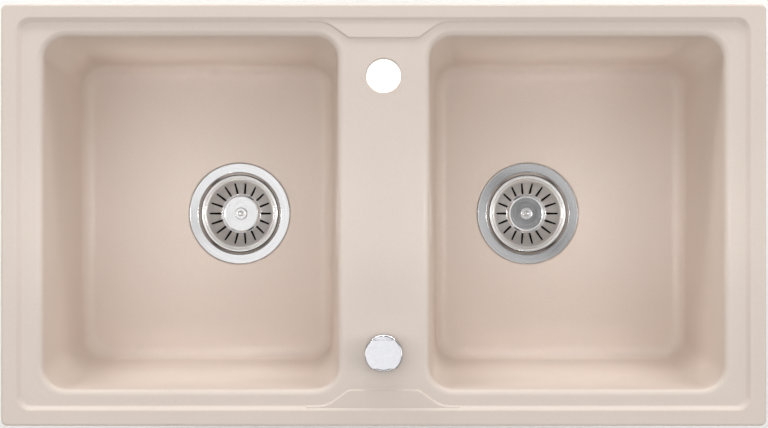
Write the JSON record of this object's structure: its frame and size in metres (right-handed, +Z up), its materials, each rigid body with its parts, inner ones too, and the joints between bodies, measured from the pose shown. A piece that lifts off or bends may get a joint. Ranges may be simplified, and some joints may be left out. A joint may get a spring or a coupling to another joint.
{
  "type": "double bowl kitchen sink",
  "caption": "Inset composite kitchen sink: bowls side by side, a tap ledge between them, basket wastes and a turning waste control on the deck.",
  "frame": {"origin": "middle of the sink's plan, in the plane of the worktop that the rim rests on", "axes": "+X to the right along the sink's length, +Y to the back where the tap stands, +Z up"},
  "size_m": [0.78, 0.43, 0.292],
  "materials": {
    "quartz_composite": "fine grained quartz and resin composite, sand beige, satin",
    "brushed_steel": "stainless steel, turned and brushed in circles",
    "chrome": "bright chrome plate",
    "rubber": "matt black rubber",
    "black_plastic": "moulded polypropylene, satin",
    "pale_plastic": "moulded acetal, satin",
    "brass": "turned brass",
    "cable_plastic": "extruded cable sheath, smooth"
  },
  "bodies": {
    "sink": {"sink_body": "quartz_composite", "rim_seal": "rubber", "left_waste_flange": "brushed_steel", "left_flange_seal": "rubber", "left_body_seal": "rubber", "left_waste_body": "black_plastic", "left_clamp_bolt": "brushed_steel", "left_shaft_seal": "rubber", "left_shaft_gland": "pale_plastic", "left_cable_ferrule": "brass", "left_ferrule_nut": "brass", "right_waste_flange": "brushed_steel", "right_flange_seal": "rubber", "right_body_seal": "rubber", "right_waste_body": "black_plastic", "right_clamp_bolt": "brushed_steel", "control_bezel": "chrome", "control_upper_gasket": "rubber", "control_lower_gasket": "rubber", "control_housing": "black_plastic", "control_bush": "pale_plastic", "control_cover": "black_plastic", "control_cover_screw_left": "brushed_steel", "control_cover_screw_right": "brushed_steel", "control_cable_ferrule": "brass", "cable_sheath": "cable_plastic"},
    "control": {"control_knob": "chrome", "control_spindle": "brass", "control_drum": "pale_plastic", "control_drum_screw": "brushed_steel"},
    "left_lever": {"left_lift_lever": "brushed_steel", "left_crank": "pale_plastic", "left_crank_screw": "brushed_steel"},
    "left_pin": {"left_lift_pin": "brushed_steel"},
    "left_wire": {"left_pull_wire": "brushed_steel"},
    "left_strainer": {"left_basket": "brushed_steel", "left_basket_knob": "brushed_steel", "left_basket_seal": "rubber", "left_seal_retainer": "pale_plastic"},
    "right_strainer": {"right_basket": "brushed_steel", "right_basket_knob": "brushed_steel", "right_basket_seal": "rubber", "right_seal_retainer": "pale_plastic"}
  },
  "joints": [
    {"name": "control_turn", "type": "hinge", "parent": "sink", "child": "control", "pos_m": [0, -0.1407, 0.02], "axis": [0, 0, 1], "range_deg": [0, 90]},
    {"name": "left_lever_rock", "type": "hinge", "parent": "sink", "child": "left_lever", "pos_m": [-0.147, 0.0015, -0.231], "axis": [0, 1, 0], "range_deg": [0, 30]},
    {"name": "left_pin_rise", "type": "slide", "parent": "sink", "child": "left_pin", "axis": [0, 0, 1], "range_m": [0, 0.008]},
    {"name": "left_wire_pull", "type": "slide", "parent": "sink", "child": "left_wire", "axis": [1, 0, 0], "range_m": [0, 0.00791]},
    {"name": "left_basket_lift_out", "type": "slide", "parent": "left_pin", "child": "left_strainer", "axis": [0, 0, 1], "range_m": [0, 0.24]},
    {"name": "right_basket_lift_out", "type": "slide", "parent": "sink", "child": "right_strainer", "axis": [0, 0, 1], "range_m": [0, 0.24]}
  ],
  "couplings": [
    {"joint": "left_lever_rock", "follows": "control_turn", "ratio": 0.33333},
    {"joint": "left_pin_rise", "follows": "control_turn", "m_per_rad": 0.005092},
    {"joint": "left_wire_pull", "follows": "control_turn", "m_per_rad": 0.00503}
  ]
}
